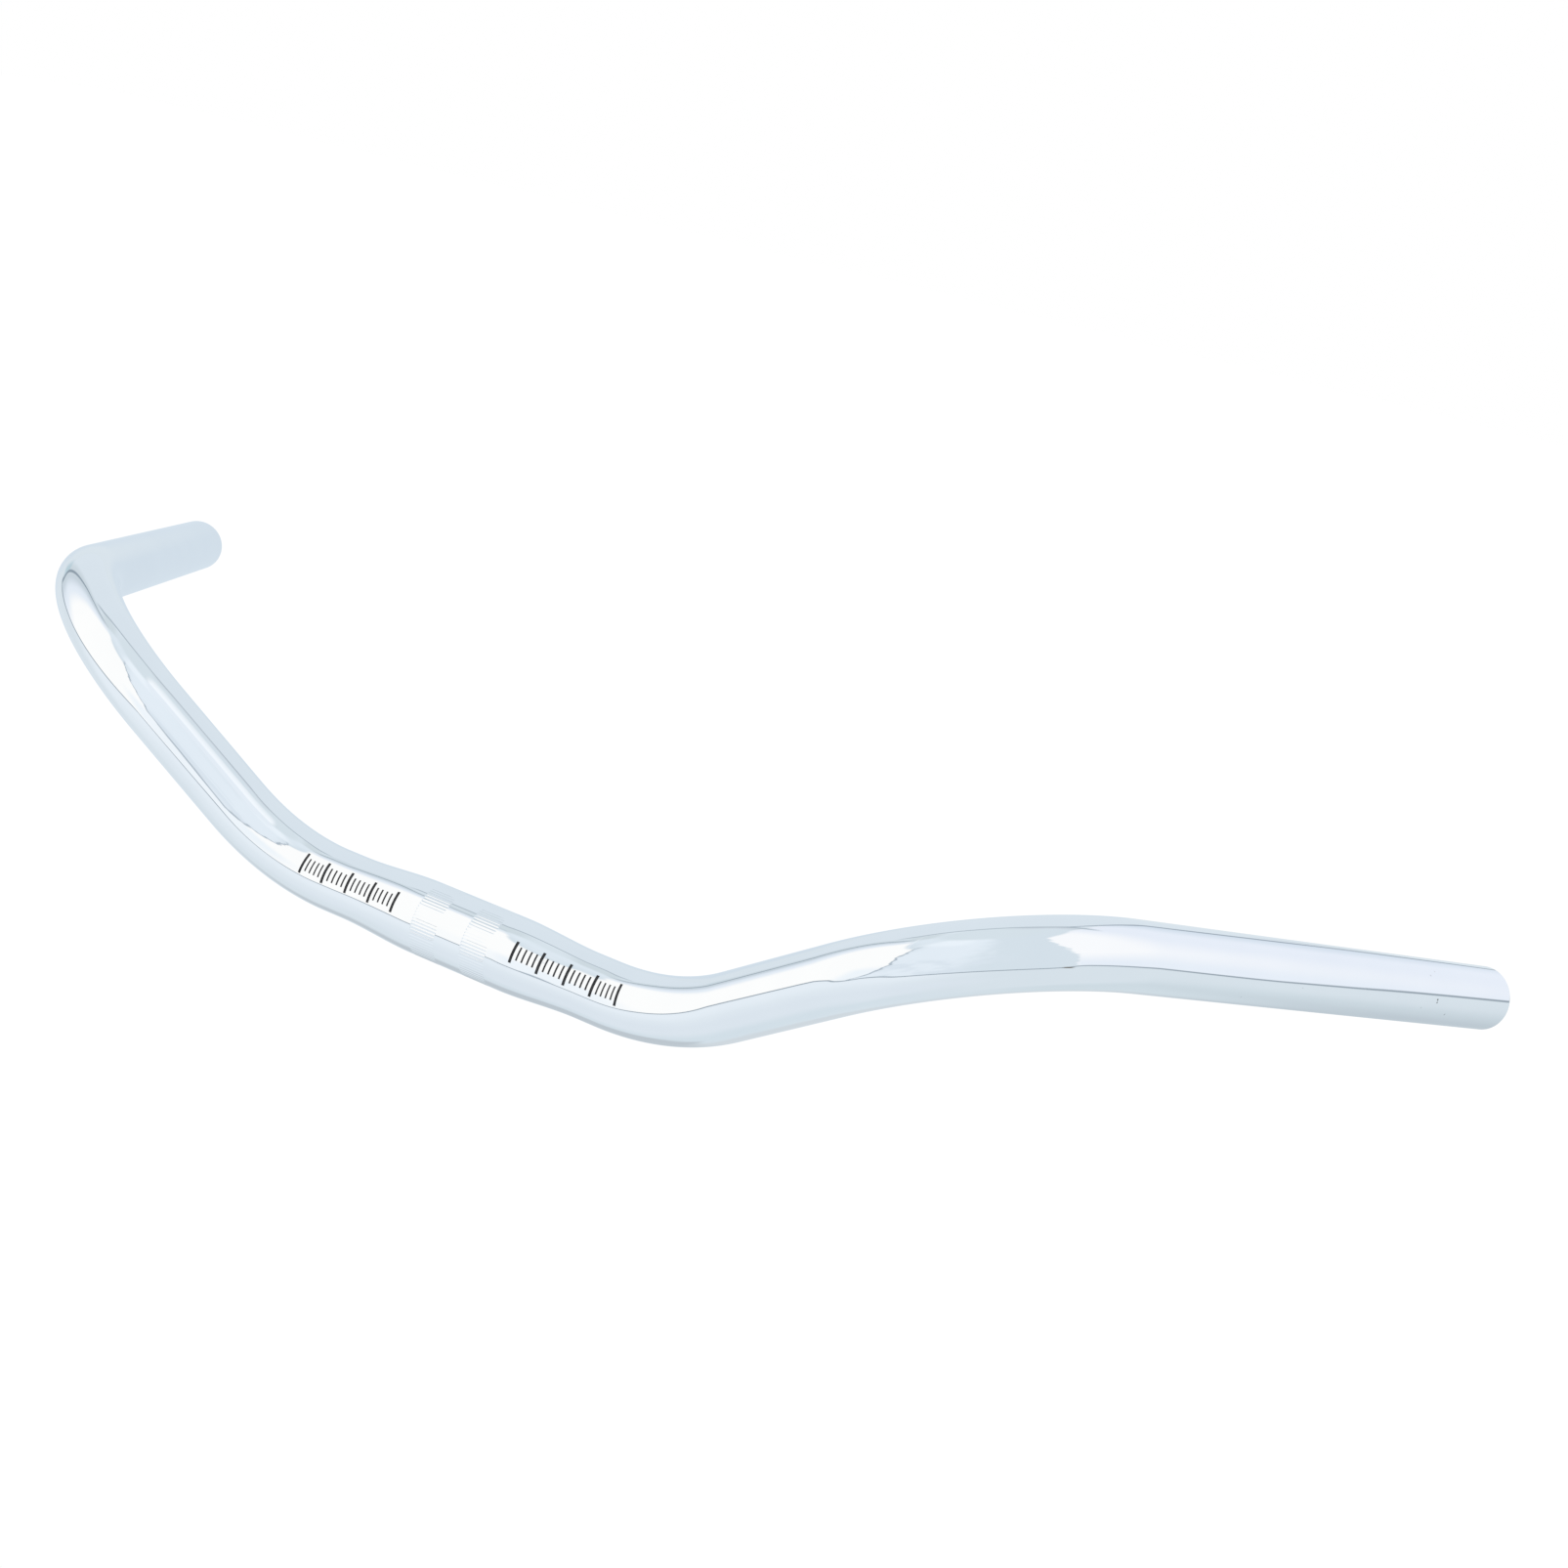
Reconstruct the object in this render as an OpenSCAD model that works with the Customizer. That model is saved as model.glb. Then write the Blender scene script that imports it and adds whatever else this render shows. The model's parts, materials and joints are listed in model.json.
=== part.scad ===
// Swept-back handlebar for a city or touring bicycle.
//
// One piece of round steel tube. It is full size where the stem clamps it,
// necked down on each side to the size that grips and levers fit, and bent
// twice on each side: up and a little forward, then back towards the rider.
//
// The origin is the centre of the stem clamp. X runs along the clamp, Y points
// forward and Z up, with the bar as it sits on the bicycle. All lengths are in
// millimetres and all angles in degrees.

/* [Tube] */
// Outside diameter where the stem clamps the bar
clamp_d = 25.4; // [24:0.1:31.8]
// Outside diameter of the rest of the tube, for grips and levers
grip_d = 22.2; // [20:0.1:23.8]
// Wall thickness
wall = 1.6; // [1.2:0.1:2.5]
// Bevel on the outer edge of each open end
end_bevel = 0.4; // [0.2:0.1:1]

/* [Centre] */
// Length of the straight part between the two first bends
centre_len = 110; // [104:1:160]
// Length of the full-size part that the stem clamps
clamp_len = 35; // [32:1:40]
// Length over which the tube necks down on each side
neck_len = 30; // [20:1:34]

/* [Knurl] */
// Length of each of the two knurled bands
band_len = 10; // [6:0.5:11]
// Smooth length left between the two bands
band_gap = 10; // [6:0.5:14]
// Number of grooves around each band
groove_count = 72; // [48:1:84]
// Width of a groove at the surface
groove_w = 0.6; // [0.4:0.05:0.8]
// Depth of a groove
groove_depth = 0.25; // [0.15:0.05:0.4]

/* [First bend] */
// Radius of the first bend, at the middle of the tube
rise_r = 75; // [60:1:110]
// Angle that the first bend turns through
rise_angle = 36; // [20:1:50]
// Forward lean of the rising leg from the vertical, seen from the side
rise_lean = 12.5; // [0:0.5:25]
// Length of the straight leg between the two bends
leg_len = 42; // [10:1:80]

/* [Second bend and grips] */
// Radius of the second bend, at the middle of the tube
sweep_r = 70; // [55:1:100]
// Angle of each grip out from straight back, seen from above
grip_flare = 30; // [15:1:50]
// Angle of each grip below the level, going back
grip_drop = 9; // [0:1:20]
// Length of each straight grip
grip_len = 180; // [130:1:220]

/* [Hidden] */
$fn = 128;

// How much a bend's tube is drawn down on its radius as it is bent
draw_down = 0.02;
// Bevel that takes a straight's end down into the bend that it joins
end_ease = 0.04;
// How far each bend is let into the straights that it joins
lap = 1;
// How far a cut runs past the surface that it opens
past = 1;
// Steps in the smooth curve of a neck
neck_steps = 10;

clamp_r = clamp_d / 2;
grip_r = grip_d / 2;

// Unit vectors of the right side: along the leg, across it in the plane of the
// first bend, across that plane, and along the grip
leg_dir = [cos(rise_angle), sin(rise_angle) * sin(rise_lean), sin(rise_angle) * cos(rise_lean)];
leg_in = [-sin(rise_angle), cos(rise_angle) * sin(rise_lean), cos(rise_angle) * cos(rise_lean)];
leg_across = [0, -cos(rise_lean), sin(rise_lean)];
grip_dir = [sin(grip_flare) * cos(grip_drop), -cos(grip_flare) * cos(grip_drop), -sin(grip_drop)];

// Angle of the second bend, and the turn about the leg that faces it the right way
sweep_angle = acos(leg_dir * grip_dir);
sweep_turn = atan2(grip_dir * leg_across, grip_dir * leg_in);

// Share of the way down a neck, from 0 at its start to 1 at its end, level at both
function ease(u) = u * u * (3 - 2 * u);

// Outline of one neck for a tube that is inset below the outer surface,
// from the full-size part outwards
function neck_points(inset) = [
    for (i = [0:neck_steps])
        let (u = i / neck_steps)
            [clamp_r + (grip_r - clamp_r) * ease(u) - inset, clamp_len / 2 + neck_len * u]
];

// The end of a straight rod of a given radius at a height z, where a bend joins it
function eased_end(rod_r, z) = [[rod_r, z - end_ease], [rod_r - end_ease, z], [0, z]];

// The straight centre as a solid of revolution along X, with both necks
module centre(inset) {
    right = concat(neck_points(inset), eased_end(grip_r - inset, centre_len / 2));
    left = [for (i = [len(right) - 1:-1:0]) [right[i][0], -right[i][1]]];
    rotate([0, 90, 0]) rotate_extrude() polygon(concat(left, right));
}

// A straight rod along +Z from the origin, with a bend at its start and the
// given outline at its other end
module straight(rod_r, far_end) {
    rotate_extrude() polygon(concat([[0, 0], [rod_r - end_ease, 0], [rod_r, end_ease]], far_end));
}

// A bent length of solid rod that starts at the origin along +Z and turns
// towards +X, let into the straights at both ends
module bend(bend_r, angle, rod_r) {
    lap_angle = asin(lap / bend_r);
    translate([bend_r, 0, 0])
        rotate([90, 0, 180])
            rotate([0, 0, -lap_angle])
                rotate_extrude(angle = angle + 2 * lap_angle)
                    translate([bend_r, 0]) circle(r = rod_r - draw_down);
}

// Moves its children from the start of such a bend to its end
module after_bend(bend_r, angle) {
    translate([bend_r, 0, 0]) rotate([0, angle, 0]) translate([-bend_r, 0, 0]) children();
}

// Places its children at the end of the right side's straight centre, with +Z
// along the tube and +X towards the inside of the first bend
module at_first_bend() {
    rotate([180 - rise_lean, 0, 0]) rotate([0, 90, 0]) translate([0, 0, centre_len / 2]) children();
}

// Places its children at the start of the right grip in the same way
module at_grip() {
    at_first_bend() after_bend(rise_r, rise_angle) translate([0, 0, leg_len])
        rotate([0, 0, sweep_turn]) after_bend(sweep_r, sweep_angle) children();
}

// Everything between the right side's straight centre and its grip, as solid rod
module arm(rod_r) {
    at_first_bend() {
        bend(rise_r, rise_angle, rod_r);
        after_bend(rise_r, rise_angle) {
            straight(rod_r, eased_end(rod_r, leg_len));
            translate([0, 0, leg_len]) rotate([0, 0, sweep_turn]) bend(sweep_r, sweep_angle, rod_r);
        }
    }
}

// Draws its children as they are on the right side, and mirrored on the left
module both_sides() {
    children();
    mirror([1, 0, 0]) children();
}

// The bar's outer form, with no bore and no knurl
module outer_form() {
    centre(0);
    both_sides() {
        arm(grip_r);
        at_grip() straight(grip_r, [[grip_r, grip_len - end_bevel],
                                    [grip_r - end_bevel, grip_len], [0, grip_len]]);
    }
}

// The space inside the tube, which runs out of both open ends
module bore() {
    bore_r = grip_r - wall;
    centre(wall);
    both_sides() {
        arm(bore_r);
        at_grip() straight(bore_r, [[bore_r, grip_len + past], [0, grip_len + past]]);
    }
}

// The V grooves of both knurled bands, each along the tube
module knurl_grooves() {
    slope = groove_w / 2 / groove_depth;
    both_sides()
        translate([band_gap / 2, 0, 0])
            for (i = [0:groove_count - 1])
                rotate([i * 360 / groove_count, 0, 0])
                    translate([0, 0, clamp_r - groove_depth])
                        rotate([90, 0, 90])
                            linear_extrude(band_len)
                                polygon([[0, 0], [slope * (groove_depth + past), groove_depth + past],
                                         [-slope * (groove_depth + past), groove_depth + past]]);
}

module handlebar() {
    color("lightsteelblue")
        difference() {
            outer_form();
            bore();
            knurl_grooves();
        }
}

handlebar();
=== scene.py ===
"""Looks of the swept-back handlebar: mirror chrome tube in a light tent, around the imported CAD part."""
import json
import math
from typing import NamedTuple

import bmesh
import bpy
import numpy as np
from mathutils import Matrix, Vector


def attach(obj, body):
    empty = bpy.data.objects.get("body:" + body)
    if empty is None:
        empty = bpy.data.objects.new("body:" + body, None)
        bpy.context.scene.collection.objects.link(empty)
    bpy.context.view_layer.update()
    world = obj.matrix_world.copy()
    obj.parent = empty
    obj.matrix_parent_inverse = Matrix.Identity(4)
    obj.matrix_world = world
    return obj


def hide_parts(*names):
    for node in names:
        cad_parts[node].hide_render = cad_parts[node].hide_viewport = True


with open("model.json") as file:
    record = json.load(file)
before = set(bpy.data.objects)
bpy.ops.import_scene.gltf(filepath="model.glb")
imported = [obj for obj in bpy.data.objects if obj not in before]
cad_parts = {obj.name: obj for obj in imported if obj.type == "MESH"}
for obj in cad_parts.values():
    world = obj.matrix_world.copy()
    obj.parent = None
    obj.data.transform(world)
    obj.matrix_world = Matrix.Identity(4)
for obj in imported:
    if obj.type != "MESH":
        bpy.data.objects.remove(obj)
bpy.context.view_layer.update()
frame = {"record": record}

MM = 0.001

# Sizes of the bar, as in the CAD part
mounts = {m["name"]: m for m in frame["record"]["mounts"]}
CLAMP_R = mounts["stem_clamp"]["dims"]["r_mm"] * MM
GRIP_R = mounts["right_grip"]["dims"]["r_mm"] * MM
WALL = GRIP_R - mounts["right_end"]["dims"]["r_mm"] * MM
GRIP_DIR = Vector(mounts["right_grip"]["axis"])
CENTRE_LEN = 110 * MM
CLAMP_LEN = mounts["stem_clamp"]["dims"]["length_mm"] * MM
NECK_LEN = 30 * MM
RISE_R = 75 * MM
RISE_ANGLE = math.radians(36)
RISE_LEAN = math.radians(12.5)
LEG_LEN = 42 * MM
SWEEP_R = 70 * MM
GRIP_LEN = 180 * MM
END_BEVEL = 0.4 * MM
BORE_BEVEL = 0.2 * MM

# How far the last station stands inside the grip's end, and the flat ring inside its outer edge
END_OUT = 1.5 * END_BEVEL
END_FLAT = 1.2 * END_BEVEL

# Knurled bands. A groove gets its full depth over GROOVE_RAMP at each end of a band
BAND_LEN = 10 * MM
BAND_GAP = 10 * MM
GROOVE_COUNT = 72
GROOVE_DEPTH = 0.1 * MM
GROOVE_RAMP = 0.3 * MM
GROOVE_SHARPNESS = 1.5

# Printed centring marks beside the clamp. Every fifth tick is a tall one, and the rest are a share of it
MARK_STARTS = ((24 * MM, 1), (-24 * MM, -1))
MARK_SPAN = 40 * MM
MARK_PITCH = 2 * MM
MARK_HEIGHT = 7.4 * MM
MARK_WIDE = 1 * MM
MARK_TALL_EVERY = 5
MARK_SHORT = 0.62
MARK_THIN = 0.6
MARK_ANGLE = math.radians(31)
INK_THICK = 0.03 * MM

# Mesh density
SEGMENTS = 108
FINE = 4
BEND_STEP = math.radians(1.5)
STRAIGHT_STEP = 6 * MM
NECK_STEP = 1 * MM
BAND_STEP = BAND_LEN / 4
END_STEPS = 4
BORE_STEPS = 3
MARK_POINTS = 9
ROUNDING = 1e-9


class Station(NamedTuple):
    """A stop on the tube's middle line: its distance from the clamp's middle, its place and its axes."""
    s: float
    place: Vector
    across: Vector
    up: Vector
    along: Vector


def neck_radius(s):
    """Outer radius at a distance s from the middle of the clamp, on either side."""
    u = min(max((abs(s) - CLAMP_LEN / 2) / NECK_LEN, 0), 1)
    return CLAMP_R + (GRIP_R - CLAMP_R) * u * u * (3 - 2 * u)


class Walk:
    """Walks along the right side of the tube's middle line, leaving a station at each stop."""

    def __init__(self):
        self.place = Vector((0, 0, 0))
        self.across, self.up, self.along = Vector((0, 1, 0)), Vector((0, 0, 1)), Vector((1, 0, 0))
        self.s = 0.0
        self.stations = []

    def stop(self):
        axes = (a.copy() for a in (self.across, self.up, self.along))
        self.stations.append(Station(self.s, self.place.copy(), *axes))

    def straight(self, stops):
        """Goes straight on, with a station at each of the given distances from here."""
        start, s = self.place.copy(), self.s
        for d in stops:
            self.place, self.s = start + self.along * d, s + d
            self.stop()

    def bend(self, radius, angle, towards):
        """Turns towards a direction that is square to the tube."""
        start, s = self.place.copy(), self.s
        axes = (self.across.copy(), self.up.copy(), self.along.copy())
        axis = self.along.cross(towards)
        centre = start + towards * radius
        steps = round(angle / BEND_STEP)
        for k in range(1, steps + 1):
            turn = Matrix.Rotation(angle * k / steps, 3, axis)
            self.place = centre + turn @ (start - centre)
            self.across, self.up, self.along = (turn @ a for a in axes)
            self.s = s + radius * angle * k / steps
            self.stop()


def even(start, end, step):
    """Distances from start to end, both included, about a step apart."""
    return list(np.linspace(start, end, max(round((end - start) / step), 1) + 1))


def centre_stops():
    """Distances of the stations on the right half of the straight centre, with more at the band's ends."""
    band_in, band_out = BAND_GAP / 2, BAND_GAP / 2 + BAND_LEN
    clamp_end, neck_end = CLAMP_LEN / 2, CLAMP_LEN / 2 + NECK_LEN
    stops = [0, band_in / 2, band_in - GROOVE_RAMP / 2]
    stops += [band_in, band_in + GROOVE_RAMP / 2, band_in + GROOVE_RAMP]
    stops += even(band_in + GROOVE_RAMP, band_out - GROOVE_RAMP, BAND_STEP)[1:]
    stops += [band_out - GROOVE_RAMP / 2, band_out, band_out + GROOVE_RAMP / 2]
    stops += even(clamp_end, neck_end, NECK_STEP)
    return stops + even(neck_end, CENTRE_LEN / 2, STRAIGHT_STEP)[1:]


def right_side():
    """Stations of the right side, from the middle of the clamp nearly to the grip's end."""
    walk = Walk()
    walk.straight(centre_stops())
    walk.bend(RISE_R, RISE_ANGLE, Vector((0, math.sin(RISE_LEAN), math.cos(RISE_LEAN))))
    walk.straight(even(0, LEG_LEN, STRAIGHT_STEP)[1:])
    sweep = walk.along.angle(GRIP_DIR)
    walk.bend(SWEEP_R, sweep, (GRIP_DIR - walk.along * math.cos(sweep)) / math.sin(sweep))
    walk.straight(even(0, GRIP_LEN - END_OUT, STRAIGHT_STEP)[1:])
    return walk.stations


def mirrored(station):
    """The same station on the other side."""
    flip = Vector((-1, 1, 1))
    return Station(-station.s, *(v * flip for v in station[1:]))


def around(station, phi):
    """Directions out from a station at the given angles, from across the tube towards its up."""
    return np.outer(np.cos(phi), station.across) + np.outer(np.sin(phi), station.up)


def ring(station, radius, push=0.0):
    """Points of a ring around a station. radius is one number or one for each point."""
    count = len(radius) if np.ndim(radius) else SEGMENTS
    out = around(station, np.arange(count) * (2 * math.pi / count))
    return np.array(station.place) + np.array(station.along) * push + out * np.reshape(radius, (-1, 1))


def groove_profile():
    """Depth below the surface of each point around a knurled ring, as a share of a groove's depth."""
    per_groove = SEGMENTS * FINE // GROOVE_COUNT
    one = 0.5 + 0.5 * np.cos(2 * np.pi * np.arange(per_groove) / per_groove)
    return np.tile(one ** GROOVE_SHARPNESS, GROOVE_COUNT)


def groove_share(s):
    """How deep the grooves are at a distance s, from 0 at a band's end to 1, or None outside the bands."""
    inside = min(abs(s) - BAND_GAP / 2, BAND_GAP / 2 + BAND_LEN - abs(s))
    if inside < -ROUNDING:
        return None
    return math.sin(min(max(inside, 0) / GROOVE_RAMP, 1) * math.pi / 2)


def add_object(name, data):
    """A new object in the scene."""
    thing = bpy.data.objects.new(name, data)
    bpy.context.scene.collection.objects.link(thing)
    return thing


class Mesh:
    """Collects rings of points and the faces between them."""

    def __init__(self):
        self.points, self.faces, self.count = [], [], 0

    def add(self, points):
        """Adds a ring and returns its first point's number and its length."""
        first = self.count
        self.points.append(points)
        self.count += len(points)
        return first, len(points)

    def join(self, a, b):
        """Faces between two rings, where b has as many points as a, or FINE times as many or as few."""
        (a0, an), (b0, bn) = a, b
        if an == bn:
            for k in range(an):
                m = (k + 1) % an
                self.faces.append((a0 + k, a0 + m, b0 + m, b0 + k))
            return
        coarse, fine, flip = (a, b, False) if an < bn else (b, a, True)
        for k in range(coarse[1]):
            c, d = coarse[0] + k, coarse[0] + (k + 1) % coarse[1]
            f = [fine[0] + (FINE * k + j) % fine[1] for j in range(FINE + 1)]
            half = FINE // 2
            tris = [(c, f[j + 1], f[j]) for j in range(half)] + [(c, d, f[half])]
            tris += [(d, f[j + 1], f[j]) for j in range(half, FINE)]
            self.faces += [t[::-1] for t in tris] if flip else tris

    def build(self, name):
        mesh = bpy.data.meshes.new(name)
        mesh.from_pydata(np.concatenate(self.points).tolist(), [], self.faces)
        mesh.update()
        mesh.shade_smooth()
        return add_object(name, mesh)


def end_rings(station):
    """The rounded outer edge, the flat end and the eased bore edge, from the outside to the bore."""
    for k in range(END_STEPS + 1):
        a = math.pi / 2 * k / END_STEPS
        push = END_OUT - END_BEVEL * (1 - math.sin(a))
        yield ring(station, GRIP_R - END_BEVEL * (1 - math.cos(a)), push)
    for radius in (GRIP_R - END_FLAT, GRIP_R - WALL / 2, GRIP_R - WALL + BORE_BEVEL):
        yield ring(station, radius, END_OUT)
    for k in range(1, BORE_STEPS + 1):
        a = math.pi / 2 * k / BORE_STEPS
        radius = GRIP_R - WALL + BORE_BEVEL * (1 - math.sin(a))
        yield ring(station, radius, END_OUT - BORE_BEVEL * (1 - math.cos(a)))


def chromed_tube(stations):
    """The whole tube as one closed mesh: outside, rounded ends and bore."""
    mesh = Mesh()
    profile = groove_profile()
    whole = [mirrored(s) for s in reversed(stations[1:])] + stations
    rings = []
    for station in whole:
        radius = neck_radius(station.s)
        share = groove_share(station.s)
        if share is not None:
            radius = radius - GROOVE_DEPTH * share * profile
        rings.append(mesh.add(ring(station, radius)))
    rings += [mesh.add(r) for r in end_rings(whole[-1])]
    for station in reversed(whole):
        rings.append(mesh.add(ring(station, neck_radius(station.s) - WALL)))
    rings += [mesh.add(r) for r in reversed(list(end_rings(whole[0])))]
    for a, b in zip(rings, rings[1:] + rings[:1]):
        mesh.join(a, b)
    return mesh.build("chromed_tube")


def station_at(stations, s):
    """The station at a distance s from the middle of the clamp, on either side."""
    at = [station.s for station in stations]
    k = min(max(int(np.searchsorted(at, abs(s))), 1), len(at) - 1)
    u = (abs(s) - at[k - 1]) / (at[k] - at[k - 1])
    place, *axes = (a.lerp(b, u) for a, b in zip(stations[k - 1][1:], stations[k][1:]))
    station = Station(abs(s), place, *(axis.normalized() for axis in axes))
    return station if s > 0 else mirrored(station)


def mark_loop(station, phi):
    """Cross-section of a tick: just proud of the plating, and let into it."""
    out = around(station, phi)
    radius = neck_radius(station.s)
    outer = np.array(station.place) + out * (radius + INK_THICK)
    inner = np.array(station.place) + out * (radius - INK_THICK)
    return np.concatenate([outer, inner[::-1]])


def add_tick(mesh, stations, s, tall):
    """One tick of ink across the tube at a distance s, closed at both sides."""
    height, wide = (MARK_HEIGHT, MARK_WIDE) if tall else (MARK_SHORT * MARK_HEIGHT, MARK_THIN * MARK_WIDE)
    half = 0.5 * height / neck_radius(s)
    phi = np.linspace(MARK_ANGLE - half, MARK_ANGLE + half, MARK_POINTS)
    loops = [mesh.add(mark_loop(station_at(stations, s + off), phi)) for off in (-wide / 2, wide / 2)]
    mesh.join(*loops)
    for (first, size), flip in zip(loops, (True, False)):
        cap = tuple(range(first, first + size))
        mesh.faces.append(cap[::-1] if flip else cap)


def centring_marks(stations):
    """Two printed scales beside the clamp: thin ticks of ink around the side that faces forward."""
    mesh = Mesh()
    for start, side in MARK_STARTS:
        for k in range(round(MARK_SPAN / MARK_PITCH) + 1):
            add_tick(mesh, stations, start + side * k * MARK_PITCH, k % MARK_TALL_EVERY == 0)
    piece = mesh.build("centring_marks")
    face_outwards(piece)
    return piece


def face_outwards(piece):
    """Turns all faces outwards and keeps the edges of the ink sharp."""
    bm = bmesh.new()
    bm.from_mesh(piece.data)
    bmesh.ops.recalc_face_normals(bm, faces=bm.faces)
    bm.to_mesh(piece.data)
    bm.free()
    piece.data.shade_flat()


class Nodes:
    """Short calls for building a node tree."""

    def __init__(self, tree):
        self.tree = tree
        tree.nodes.clear()

    def new(self, kind, **settings):
        node = self.tree.nodes.new(kind)
        for key, value in settings.items():
            setattr(node, key, value)
        return node

    def put(self, socket, value):
        """Links a socket to a value that is a socket too, or else sets it."""
        if isinstance(value, bpy.types.NodeSocket):
            self.tree.links.new(value, socket)
        else:
            socket.default_value = value

    def surface(self, shader, output="ShaderNodeOutputMaterial"):
        """Makes a shader the look of the surface."""
        self.put(self.new(output).inputs["Surface"], shader)

    def math(self, operation, a, b=0.0):
        node = self.new("ShaderNodeMath", operation=operation)
        self.put(node.inputs[0], a)
        self.put(node.inputs[1], b)
        return node.outputs[0]

    def rescale(self, value, before, after, **settings):
        """A value moved from one range to another, each a (low, high) pair, and kept within it."""
        node = self.new("ShaderNodeMapRange", **settings)
        self.put(node.inputs["Value"], value)
        for name, limit in zip(("From Min", "From Max", "To Min", "To Max"), (*before, *after)):
            node.inputs[name].default_value = limit
        return node.outputs["Result"]

    def ramp(self, value, start, full):
        """0 at start, 1 at full, smooth between them and level beyond. start may be above full."""
        if start < full:
            return self.rescale(value, (start, full), (0, 1), interpolation_type="SMOOTHSTEP")
        return self.rescale(value, (full, start), (1, 0), interpolation_type="SMOOTHSTEP")

    def past(self, value, edge, soft):
        """1 where a value is past an edge and 0 before it, with a soft step between them."""
        return self.ramp(self.math("SUBTRACT", value, edge), -soft / 2, soft / 2)

    def before(self, value, edge, soft):
        """1 where a value is before an edge and 0 past it, with a soft step between them."""
        return self.math("SUBTRACT", 1, self.past(value, edge, soft))

    def near(self, value, edge, width):
        """1 on an edge, falling to 0 at half the given width from it."""
        off = self.math("ABSOLUTE", self.math("SUBTRACT", value, edge))
        return self.ramp(off, width / 2, width / 8)

    def all(self, *masks):
        """1 only where all masks are."""
        product = masks[0]
        for mask in masks[1:]:
            product = self.math("MULTIPLY", product, mask)
        return product

    def curve(self, value, points):
        """A smooth curve through (input, output) points, level beyond its ends."""
        inputs, outputs = zip(*points)
        start, end, low, high = inputs[0], inputs[-1], min(outputs), max(outputs)
        node = self.new("ShaderNodeFloatCurve")
        line = node.mapping.curves[0].points
        spots = [((i - start) / (end - start), (o - low) / (high - low)) for i, o in points]
        line[0].location, line[1].location = spots[0], spots[-1]
        for spot in spots[1:-1]:
            line.new(*spot)
        for point in line:
            point.handle_type = "AUTO_CLAMPED"
        node.mapping.update()
        self.put(node.inputs["Value"], self.rescale(value, (start, end), (0, 1)))
        return self.rescale(node.outputs["Value"], (0, 1), (low, high))

    def noise(self, where, scale, detail):
        """Noise from about -0.5 to 0.5."""
        node = self.new("ShaderNodeTexNoise")
        self.put(node.inputs["Vector"], where)
        node.inputs["Scale"].default_value = scale
        node.inputs["Detail"].default_value = detail
        return self.math("SUBTRACT", node.outputs["Fac"], 0.5)

    def mix(self, factor, a, b):
        node = self.new("ShaderNodeMix", data_type="RGBA")
        self.put(node.inputs["Factor"], factor)
        self.put(node.inputs["A"], a)
        self.put(node.inputs["B"], b)
        return node.outputs["Result"]


def new_material(name):
    """A new material and its empty node tree."""
    material = bpy.data.materials.new(name)
    material.use_nodes = True
    return material, Nodes(material.node_tree)


# Chrome: its colour where it is clear, hazy and pitted, and how much haze and pits roughen it
CHROME = (0.90, 0.915, 0.925, 1)
CHROME_HAZE = (0.885, 0.902, 0.915, 1)
PIT_COLOUR = (0.16, 0.15, 0.14, 1)
CHROME_ROUGH = 0.02
HAZE_ROUGH = 0.03
PIT_ROUGH = 0.4
WAVE_HEIGHT = 0.02 * MM
# Scale and detail of the noise in the haze and the waves, and the noise between which the haze comes in
HAZE_NOISE = (45, 5)
HAZE_RANGE = (-0.2, 0.25)
WAVE_NOISE = (40, 1)

# Small pits in the plating of one grip: place and radius in millimetres, and how dark each is
PITS = (((-285.27, -145.83, 41.9), 0.5, 0.9), ((-285.3, -145.83, 40.9), 0.45, 0.8),
        ((-288.32, -152.2, 35.53), 0.5, 0.4), ((-281.41, -139.34, 39.55), 0.4, 0.25),
        ((-280.7, -145.55, 49.25), 0.45, 0.3), ((-281.22, -149.31, 49.74), 0.4, 0.25),
        ((-250.09, -84.76, 51.78), 0.35, 0.2), ((-236.12, -63.31, 50.1), 0.4, 0.2))


def pit_mask(n, where):
    """How dark the pits are at each place of the plating, 0 outside them."""
    pitted = None
    for place, radius, depth in PITS:
        gap = n.new("ShaderNodeVectorMath", operation="DISTANCE")
        n.put(gap.inputs[0], where)
        gap.inputs[1].default_value = [c * MM for c in place]
        pit = n.math("MULTIPLY", n.ramp(gap.outputs["Value"], radius * MM, 0.5 * radius * MM), depth)
        pitted = pit if pitted is None else n.math("MAXIMUM", pitted, pit)
    return pitted


def chrome_material():
    """Mirror-bright chrome with a faint haze, slight waves from the bending and a few pits."""
    material, n = new_material("chrome_plate")
    where = n.new("ShaderNodeTexCoord").outputs["Object"]
    haze = n.ramp(n.noise(where, *HAZE_NOISE), *HAZE_RANGE)
    pitted = pit_mask(n, where)
    waves = n.new("ShaderNodeBump")
    waves.inputs["Strength"].default_value = 1
    waves.inputs["Distance"].default_value = WAVE_HEIGHT
    n.put(waves.inputs["Height"], n.noise(where, *WAVE_NOISE))
    shader = n.new("ShaderNodeBsdfPrincipled")
    n.put(shader.inputs["Base Color"], n.mix(pitted, n.mix(haze, CHROME, CHROME_HAZE), PIT_COLOUR))
    shader.inputs["Metallic"].default_value = 1
    rough = n.math("ADD", n.math("MULTIPLY", haze, HAZE_ROUGH), n.math("MULTIPLY", pitted, PIT_ROUGH))
    n.put(shader.inputs["Roughness"], n.math("ADD", rough, CHROME_ROUGH))
    n.put(shader.inputs["Normal"], waves.outputs["Normal"])
    n.surface(shader.outputs["BSDF"])
    return material


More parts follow.
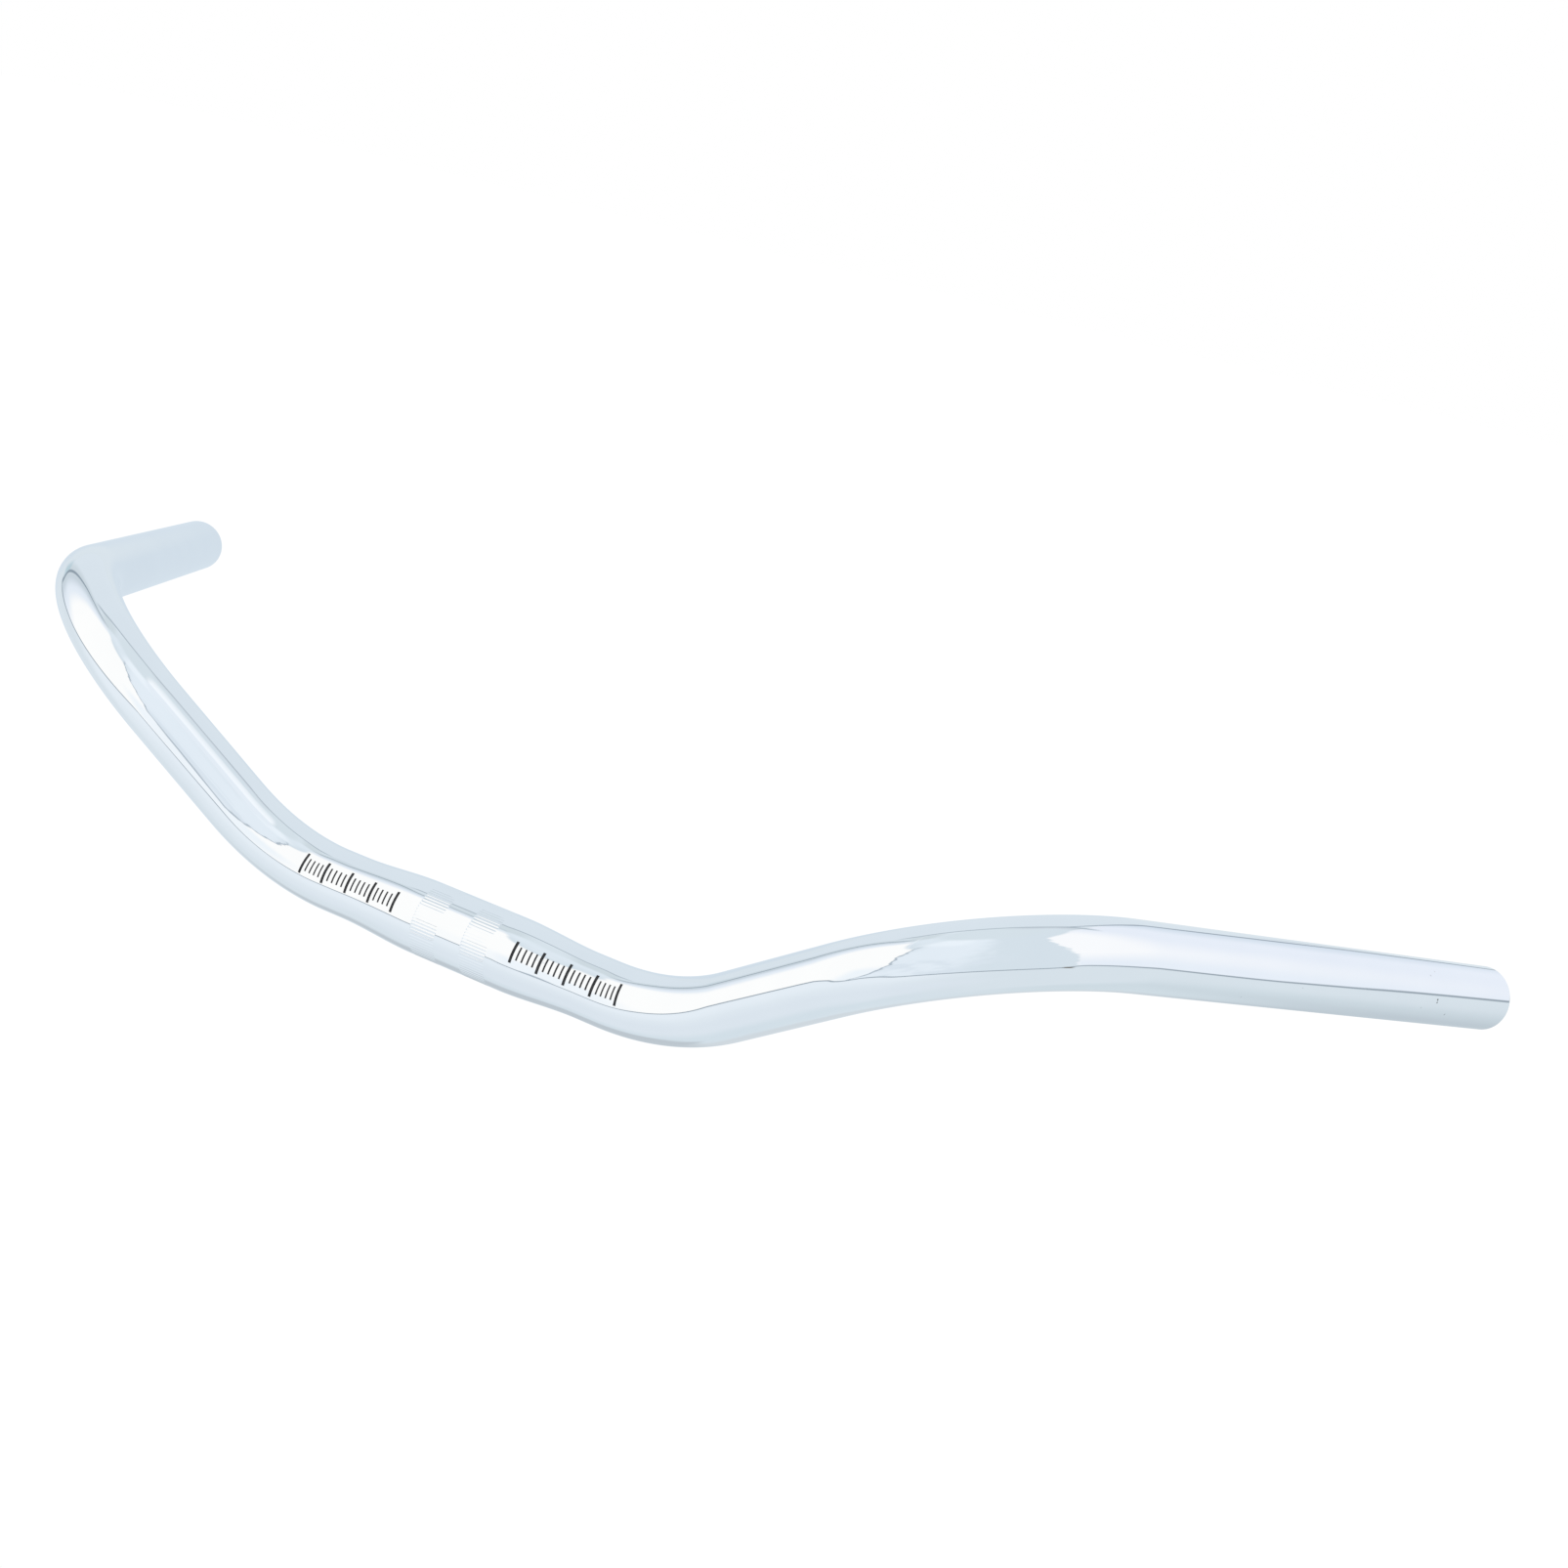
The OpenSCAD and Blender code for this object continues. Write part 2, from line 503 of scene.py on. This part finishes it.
# Ink: its colour where it is whole and worn, how rough it is and how much wear adds to that
INK = (0.012, 0.013, 0.015, 1)
INK_WORN = (0.05, 0.052, 0.056, 1)
INK_ROUGH = 0.35
WEAR_ROUGH = 0.25
INK_SHINE = 0.3
WEAR_NOISE = (900, 4)
WEAR_RANGE = (-0.1, 0.3)


def ink_material():
    """Worn black ink, thinner in places."""
    material, n = new_material("black_ink")
    where = n.new("ShaderNodeTexCoord").outputs["Object"]
    worn = n.ramp(n.noise(where, *WEAR_NOISE), *WEAR_RANGE)
    shader = n.new("ShaderNodeBsdfPrincipled")
    n.put(shader.inputs["Base Color"], n.mix(worn, INK, INK_WORN))
    n.put(shader.inputs["Roughness"], n.math("ADD", n.math("MULTIPLY", worn, WEAR_ROUGH), INK_ROUGH))
    shader.inputs["Specular IOR Level"].default_value = INK_SHINE
    n.surface(shader.outputs["BSDF"])
    return material


def colour(red, green, blue):
    """A colour of 0 to 255 as it shows on a screen, in linear light."""
    def linear(c):
        c /= 255
        return c / 12.92 if c <= 0.04045 else ((c + 0.055) / 1.055) ** 2.4
    return (linear(red), linear(green), linear(blue), 1)


def tint(rgb):
    """A colour that looks as written when it is seen in the chrome."""
    return tuple(light / share for light, share in zip(colour(*rgb)[:3], CHROME)) + (1,)


# Light tent that the chrome mirrors. Azimuth 0 is ahead of the bar and 90 on its right, in degrees
TENT_R = 0.9
TENT_MIDDLE = Vector((0, 0, 0.1))
TENT_SEGMENTS = 96
TENT_RINGS = 48

# Edges of what hangs in the tent: elevation by azimuth, or azimuth by elevation
HORIZON = ((-172, 3), (-160, 1), (-120, -3), (-112, -8), (-106, -11), (-80, -9.5), (-72, -14), (-60, -17),
           (-35, -18.5), (-15, -19), (5, -15), (20, -18), (32, -14), (60, -12), (78, -9),
           (88, -5.5), (96, -3), (102, 0), (108, 8), (116, 12))
RIGHT_TOP = ((12, 45), (38, 50), (50, 54), (65, 58), (88, 57), (104, 56))
RIGHT_START = ((-16, 16), (-2, 9), (8, 9), (20, 13), (36, 19), (53, 27))
RIGHT_RIM = ((-10, 101), (0, 101), (12, 104.5), (36, 103), (44, 99), (53, 89), (60, 79))
LEFT_TOP = ((-163, 30), (-155, 45), (-140, 55), (-120, 61), (-90, 60), (-75, 57))
LEFT_START = ((2, -162), (8, -166), (17, -166), (31, -163), (42, -159), (60, -151))
LEFT_END = ((-8, -75), (-1, -75), (20, -72.5), (36, -71.5), (57, -77))
# Arch over the back of the ceiling, as Y by X on a unit ball
ARCH = ((-0.25, -0.44), (-0.12, -0.36), (0.01, -0.32), (0.2, -0.26), (0.4, -0.2), (0.53, -0.14))

# How soft each of those edges is, in degrees, and on a unit ball for the arch
HORIZON_SOFT = 1.2
RIGHT_SOFT = 4
RIM_SOFT = 2
LEFT_SOFT = 3
LEFT_START_SOFT = 2
LEVEL_SOFT = 2
ARCH_SOFT = 0.02
# How wide the dark line is that runs along each of them
HORIZON_LINE = 3.2
RIGHT_LINE = 3.5
RIM_LINE = 3.6
LEFT_LINE = 4
ARCH_LINE = 0.085
ARCH_SHADE = 0.26
# How far the arch's line and shade stand from it, and the Z and X between which they come in
ARCH_LINE_AT = -0.01
ARCH_LINE_Z = (0.74, 0.82)
ARCH_SHADE_AT = 0.02
ARCH_SHADE_Z = (0.8, 0.88)
ARCH_SHADE_X = (0.06, -0.1)
# Azimuth on either side past which the tent is behind the bar
BEHIND = (154, 166)
# Scale and detail of the noise in ragged edges, how far they stray, and how much further the wavy one does
RAGGED_NOISE = (9, 4)
RAGGED_BY = 10
WAVY_MORE = 2
WAVY_EDGE = (-44, -20)
MOTTLE_NOISE = (5, 3)
MOTTLE_RANGE = (-0.12, 0.16)
# Degrees inside the right light's rim: where its light starts, where it dims, and the shades past its rim
RIM_START = 1
RIM_DIM = (26, 13)
RIM_DIMMER = (14, 1)
RIM_SHADE = ((-9, -3), (6, 0))
RIM_OUTSIDE = ((0, -2), (-11, -4))
# A small dark thing on the left: its azimuth and elevation, and how wide it is in each
SPOT = ((-73, 5), (-14, 4))


class Zone(NamedTuple):
    """A patch of the tent: its colour, its soft edges by azimuth and elevation, and its other masks.

    An edge is two angles in degrees, from where the colour starts to show to where it is full.
    """
    rgb: tuple
    az: tuple = ()
    el: tuple = ()
    within: tuple = ()


BASE_CLOTH = (210, 223, 232)
# Each zone is painted over the ones before it
ZONES = (
    # The cloth below the horizon: all of it, then in front, low down and up to the horizon
    Zone((215, 226, 234), el=((-88, -50),)),
    Zone((219, 229, 238), az=((-75, -40), (75, 50)), el=((-85, -65), (-30, -45))),
    Zone((229, 238, 246), az=((-60, -10), (90, 62)), el=((-52, -20),)),
    # The same cloth behind: on the left, straight behind, low on the right, and on the left higher up
    Zone((206, 219, 227), az=((-104, -120),), el=((-70, -50), (-16, -30))),
    Zone((206, 215, 222), el=((-80, -66), (-8, -22)), within=("behind",)),
    Zone((188, 198, 206), az=((84, 112), (176, 162)), el=((-86, -78), (-36, -54))),
    Zone((187, 199, 208), az=((-174, -164), (-110, -146)), el=((-46, -34), (-6, -22))),
    # Above the horizon: all of it, the brighter front wall and its mottled foot
    Zone((213, 225, 234), within=("above",)),
    Zone((227, 237, 246), az=((30, 12),), within=("above", "wavy_side")),
    Zone((217, 228, 238), az=((-56, -30), (30, 12)), el=((24, 12),), within=("above", "mottle")),
    # The ceiling ahead of the arch: on the right, in front, at its top, and a darker patch on the right
    Zone((222, 233, 242), az=((20, 50),), el=((52, 64),), within=("ahead_of_arch",)),
    Zone((234, 243, 251), az=((-22, -2), (46, 20)), el=((50, 58),), within=("ahead_of_arch",)),
    Zone((213, 225, 233), el=((66, 74),), within=("ahead_of_arch",)),
    Zone((206, 218, 225), az=((68, 84), (122, 104)), el=((54, 59), (72, 65))),
    # The rear: all of it, a shade along the arch, and the cloth just below the level on the right
    Zone((216, 227, 236), within=("above", "behind_arch")),
    Zone((204, 214, 223), within=("arch_shade",)),
    Zone((207, 220, 231), az=((105, 120),), el=((6, -4), (-44, -34))),
    # The large soft light on the right: all of it, its low front end, and two steps of dimming to its rim
    Zone((253, 254, 254), within=("right_light",)),
    Zone((239, 246, 252), az=((34, 20),), el=((14, 0),), within=("right_light",)),
    Zone((227, 236, 246), within=("right_light", "rim_dim")),
    Zone((192, 205, 215), within=("right_light", "rim_dimmer")),
    # The large soft light on the left: all of it, its low part, and two steps of dimming to the back
    Zone((249, 251, 254), within=("left_light",)),
    Zone((231, 239, 249), el=((20, -5),), within=("left_light",)),
    Zone((231, 238, 249), az=((-102, -138),), within=("left_light",)),
    Zone((212, 224, 237), az=((-148, -165),), within=("left_light",)),
    # Dark seams: the horizon, the arch, both sides of the right light's rim and the rim itself
    Zone((150, 163, 174), az=((-172, -165), (106, 100)), within=("horizon_line",)),
    Zone((172, 185, 195), within=("arch_line",)),
    Zone((202, 214, 222), el=((64, 58),), within=("above", "rim_shade")),
    Zone((184, 206, 216), el=((1, 5), (12, 9)), within=("rim_outside",)),
    Zone((140, 155, 168), el=((62, 56),), within=("above", "rim_line")),
    # The same where the left and right lights start, and the small dark thing
    Zone((152, 165, 178), el=((64, 60),), within=("left_line",)),
    Zone((172, 185, 197), el=((56, 48),), within=("above", "right_line")),
    Zone((104, 100, 92), within=("spot",)),
)


class TentPaint:
    """Paints the tent's inside by the direction from its middle."""

    def __init__(self, n, unit):
        self.n = n
        axes = n.new("ShaderNodeSeparateXYZ")
        n.put(axes.inputs[0], unit)
        self.x, self.y, self.z = axes.outputs
        self.azimuth = n.math("MULTIPLY", n.math("ARCTAN2", self.x, self.y), math.degrees(1))
        self.elevation = n.math("MULTIPLY", n.math("ARCSINE", self.z), math.degrees(1))
        self.ragged = n.math("MULTIPLY", n.noise(unit, *RAGGED_NOISE), RAGGED_BY)
        self.mottle = n.ramp(n.noise(unit, *MOTTLE_NOISE), *MOTTLE_RANGE)
        self.horizon = n.curve(self.azimuth, HORIZON)
        self.above = n.past(self.elevation, self.horizon, HORIZON_SOFT)
        self.arch = n.curve(self.x, ARCH)
        self.inside = n.math("SUBTRACT", n.curve(self.elevation, RIGHT_RIM), self.azimuth)
        self.right_start = n.math("ADD", n.curve(self.elevation, RIGHT_START), self.ragged)
        self.left_start = n.curve(self.elevation, LEFT_START)
        self.masks = {**self.walls(), **self.lights(), **self.rim(), **self.lines()}

    def walls(self):
        """Masks of the walls and the ceiling, on each side of the arch."""
        n = self.n
        wavy = n.math("ADD", self.azimuth, n.math("MULTIPLY", self.ragged, WAVY_MORE))
        shade = n.near(self.y, n.math("ADD", self.arch, ARCH_SHADE_AT), ARCH_SHADE)
        return {
            "above": self.above,
            "behind": n.ramp(n.math("ABSOLUTE", self.azimuth), *BEHIND),
            "wavy_side": n.ramp(wavy, *WAVY_EDGE),
            "mottle": self.mottle,
            "ahead_of_arch": n.past(self.y, self.arch, ARCH_SOFT),
            "behind_arch": n.before(self.y, self.arch, ARCH_SOFT),
            "arch_shade": n.all(shade, n.ramp(self.z, *ARCH_SHADE_Z), n.ramp(self.x, *ARCH_SHADE_X)),
        }

    def lights(self):
        """Masks of the two large soft lights."""
        n = self.n
        left_end = n.math("ADD", n.curve(self.elevation, LEFT_END), self.ragged)
        return {
            "right_light": n.all(
                self.above, n.past(self.azimuth, self.right_start, RIGHT_SOFT),
                n.past(self.inside, RIM_START, RIM_SOFT),
                n.before(self.elevation, n.curve(self.azimuth, RIGHT_TOP), RIGHT_SOFT)),
            "left_light": n.all(
                self.above, n.past(self.azimuth, self.left_start, LEFT_START_SOFT),
                n.before(self.azimuth, left_end, LEFT_SOFT),
                n.before(self.elevation, n.curve(self.azimuth, LEFT_TOP), LEFT_SOFT)),
        }

    def rim(self):
        """Masks on both sides of the right light's rim."""
        n = self.n
        return {
            "rim_dim": n.ramp(self.inside, *RIM_DIM),
            "rim_dimmer": n.ramp(self.inside, *RIM_DIMMER),
            "rim_shade": n.all(*(n.ramp(self.inside, *edge) for edge in RIM_SHADE)),
            "rim_outside": n.all(*(n.ramp(self.inside, *edge) for edge in RIM_OUTSIDE)),
            "rim_line": n.near(self.inside, 0, RIM_LINE),
        }

    def lines(self):
        """Masks of the other dark seams and of the spot. The left light's seam stops at the level."""
        n = self.n
        arch_line = n.near(self.y, n.math("ADD", self.arch, ARCH_LINE_AT), ARCH_LINE)
        left_line = n.near(self.azimuth, self.left_start, LEFT_LINE)
        return {
            "horizon_line": n.near(self.elevation, self.horizon, HORIZON_LINE),
            "arch_line": n.all(arch_line, n.ramp(self.z, *ARCH_LINE_Z)),
            "left_line": n.all(left_line, n.past(self.elevation, 0, LEVEL_SOFT)),
            "right_line": n.near(self.azimuth, self.right_start, RIGHT_LINE),
            "spot": n.all(n.near(self.azimuth, *SPOT[0]), n.near(self.elevation, *SPOT[1])),
        }

    def colour(self):
        """The tent's colour, with all zones painted."""
        n = self.n
        shade = tint(BASE_CLOTH)
        for zone in ZONES:
            masks = [self.masks[name] for name in zone.within]
            masks += [n.ramp(self.azimuth, *edge) for edge in zone.az]
            masks += [n.ramp(self.elevation, *edge) for edge in zone.el]
            shade = n.mix(n.all(*masks), shade, tint(zone.rgb))
        return shade


def only_mirrors(thing, material):
    """Gives a stage piece its material and hides it from everything but mirror rays."""
    material.cycles.emission_sampling = "NONE"
    thing.data.materials.append(material)
    thing.visible_camera = False
    thing.visible_diffuse = False
    thing.visible_shadow = False
    thing.visible_volume_scatter = False


def light_tent():
    """A ball around the studio that only mirrors see."""
    bpy.ops.mesh.primitive_uv_sphere_add(
        segments=TENT_SEGMENTS, ring_count=TENT_RINGS, radius=TENT_R, location=TENT_MIDDLE)
    tent = bpy.context.object
    tent.name = "light_tent"
    tent.data.shade_smooth()
    material, n = new_material("tent_cloth")
    unit = n.new("ShaderNodeVectorMath", operation="NORMALIZE")
    n.put(unit.inputs[0], n.new("ShaderNodeTexCoord").outputs["Object"])
    glow = n.new("ShaderNodeEmission")
    n.put(glow.inputs["Color"], TentPaint(n, unit.outputs[0]).colour())
    n.surface(glow.outputs[0])
    only_mirrors(tent, material)


# Pale card that hangs over one leg, edge on to the other: its middle, size and rise along X
CARD_MIDDLE = Vector((0.015, 0.0875, 0.307))
CARD_HALF_X = 0.06
CARD_HALF_Y = 0.1125
CARD_SLOPE = 1.4
CARD_CLOTH = (229, 238, 247)
CARD_STRIP = (243, 249, 255)
# Y at which the card's brighter strip ends in front, and how that changes along X
STRIP_FRONT = 0.076
STRIP_SKEW = 0.5
# Soft edges by the distance ahead of there: the strip's front and its long fade to the back, and the same
# for the plain cloth ahead of it
STRIP_EDGE = (0.006, -0.004)
STRIP_FADE = (-0.16, -0.02)
CLOTH_EDGE = (0.12, 0.05)
CLOTH_FADE = (-0.025, 0)
# The card fades out at both ends of X, from its very end in to this one
CARD_FADE_TO = 0.6 * CARD_HALF_X


def card_material():
    """Pale cloth with a brighter strip, see-through past its soft edges."""
    material, n = new_material("card_cloth")
    axes = n.new("ShaderNodeSeparateXYZ")
    n.put(axes.inputs[0], n.new("ShaderNodeTexCoord").outputs["Object"])
    x, y, _ = axes.outputs
    off_middle = n.math("ABSOLUTE", n.math("SUBTRACT", x, CARD_MIDDLE.x))
    ahead = n.math("SUBTRACT", n.math("SUBTRACT", y, n.math("MULTIPLY", x, STRIP_SKEW)), STRIP_FRONT)
    on_strip = n.ramp(ahead, *STRIP_EDGE)
    strip = n.all(on_strip, n.ramp(ahead, *STRIP_FADE))
    cloth = n.all(n.ramp(ahead, *CLOTH_EDGE), n.ramp(ahead, *CLOTH_FADE))
    cover = n.all(n.ramp(off_middle, CARD_HALF_X, CARD_FADE_TO), n.math("MAXIMUM", strip, cloth))
    glow = n.new("ShaderNodeEmission")
    n.put(glow.inputs["Color"], n.mix(on_strip, tint(CARD_CLOTH), tint(CARD_STRIP)))
    mixed = n.new("ShaderNodeMixShader")
    n.put(mixed.inputs[0], cover)
    n.put(mixed.inputs[1], n.new("ShaderNodeBsdfTransparent").outputs[0])
    n.put(mixed.inputs[2], glow.outputs[0])
    n.surface(mixed.outputs[0])
    return material


def reflector_card():
    """A card that only mirrors see, with a bright strip across it that fades out to the back."""
    right = Vector((CARD_HALF_X, 0, CARD_HALF_X * CARD_SLOPE))
    ahead = Vector((0, CARD_HALF_Y, 0))
    corners = [CARD_MIDDLE + i * right + j * ahead for i, j in ((-1, -1), (1, -1), (1, 1), (-1, 1))]
    mesh = bpy.data.meshes.new("reflector_card")
    mesh.from_pydata(corners, [], [(0, 1, 2, 3)])
    only_mirrors(add_object("reflector_card", mesh), card_material())


FLOOR_Z = -0.85
FLOOR_SIZE = 30
FLOOR_PALE = 0.8
# How bright the floor looks where it is the background, just past white
BACKGROUND_LEVEL = 1.02
WORLD_LEVEL = 1.0


def seen_directly(n):
    """1 for rays that see the background: from the camera, off a mirror or through glass."""
    path = n.new("ShaderNodeLightPath").outputs
    seen = n.math("MAXIMUM", path["Is Camera Ray"], path["Is Glossy Ray"])
    return n.math("MAXIMUM", seen, path["Is Transmission Ray"])


def pale_floor():
    """Plain pale floor well below the bar, lifted to white where it is the background."""
    bpy.ops.mesh.primitive_plane_add(size=FLOOR_SIZE, location=(0, 0, FLOOR_Z))
    floor = bpy.context.object
    floor.name = "floor"
    material, n = new_material("pale_floor")
    pale = n.new("ShaderNodeBsdfDiffuse")
    pale.inputs["Color"].default_value = (FLOOR_PALE, FLOOR_PALE, FLOOR_PALE, 1)
    lift = n.new("ShaderNodeEmission")
    missing = BACKGROUND_LEVEL - FLOOR_PALE * WORLD_LEVEL
    n.put(lift.inputs["Strength"], n.math("MULTIPLY", seen_directly(n), missing))
    both = n.new("ShaderNodeAddShader")
    n.put(both.inputs[0], pale.outputs[0])
    n.put(both.inputs[1], lift.outputs[0])
    n.surface(both.outputs[0])
    floor.data.materials.append(material)


def white_world():
    """Even white surroundings, which light the whole scene."""
    world = bpy.data.worlds.new("even_white")
    bpy.context.scene.world = world
    world.use_nodes = True
    n = Nodes(world.node_tree)
    back = n.new("ShaderNodeBackground")
    back.inputs["Color"].default_value = (1, 1, 1, 1)
    back.inputs["Strength"].default_value = WORLD_LEVEL
    n.surface(back.outputs[0], "ShaderNodeOutputWorld")


# The photograph's camera: its place, which way it looks, and its focal length in pixels of the photograph
CAMERA_AT = Vector((-0.32747, 0.522771, 0.27421))
CAMERA_AZIMUTH = math.radians(23.5435)
CAMERA_ELEVATION = math.radians(18.1242)
CAMERA_ROLL = math.radians(-12.0537)
SENSOR = 36
FOCAL_PX = 2058.23
PHOTO_PX = 1605
CLIP_NEAR = 0.01
CLIP_FAR = 100


def photo_camera():
    """The camera of the photograph, from its azimuth, elevation and roll."""
    data = bpy.data.cameras.new("photo_camera")
    data.sensor_width = SENSOR
    data.lens = FOCAL_PX / PHOTO_PX * SENSOR
    data.clip_start, data.clip_end = CLIP_NEAR, CLIP_FAR
    camera = add_object("photo_camera", data)
    a, e, roll = CAMERA_AZIMUTH, CAMERA_ELEVATION, CAMERA_ROLL
    back = Vector((-math.sin(a) * math.cos(e), math.cos(a) * math.cos(e), math.sin(e)))
    right = (-back).cross(Vector((0, 0, 1))).normalized()
    down = (-back).cross(right)
    image_right = right * math.cos(roll) + down * math.sin(roll)
    image_up = right * math.sin(roll) - down * math.cos(roll)
    camera.matrix_world = Matrix((image_right, image_up, back)).transposed().to_4x4()
    camera.location = CAMERA_AT
    bpy.context.scene.camera = camera


stations = right_side()
tube = chromed_tube(stations)
tube.data.materials.append(chrome_material())
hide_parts("handlebar")
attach(tube, "root")

marks = centring_marks(stations)
marks.data.materials.append(ink_material())
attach(marks, "root")

photo_camera()
light_tent()
reflector_card()
pale_floor()
white_world()
bpy.context.scene.view_settings.view_transform = "Standard"
